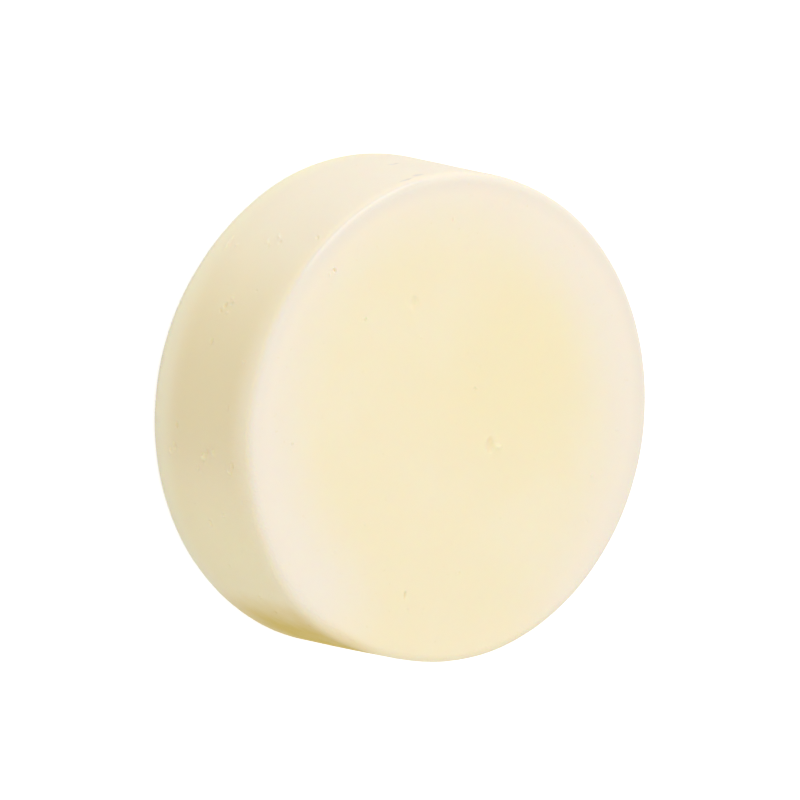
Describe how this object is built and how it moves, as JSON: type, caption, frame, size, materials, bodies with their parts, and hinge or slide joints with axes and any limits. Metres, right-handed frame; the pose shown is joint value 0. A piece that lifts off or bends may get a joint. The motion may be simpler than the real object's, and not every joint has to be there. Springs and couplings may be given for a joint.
{
  "type": "shaving soap puck",
  "caption": "Round cake of hard shaving soap, poured in a mould, with flat faces and softly rounded rims, that a wet brush works into lather.",
  "frame": {"origin": "middle of the back face, on which the cake lies", "axes": "+Z along the cake's axis, out of the face that the brush works; X and Y lie in the back face, and the cake is round, so neither has a meaning"},
  "size_m": [0.0758, 0.076, 0.0254],
  "materials": {
    "soap": "smooth, slightly waxy, faintly translucent ivory"
  },
  "bodies": {
    "root": {"soap_puck": "soap"}
  },
  "joints": []
}
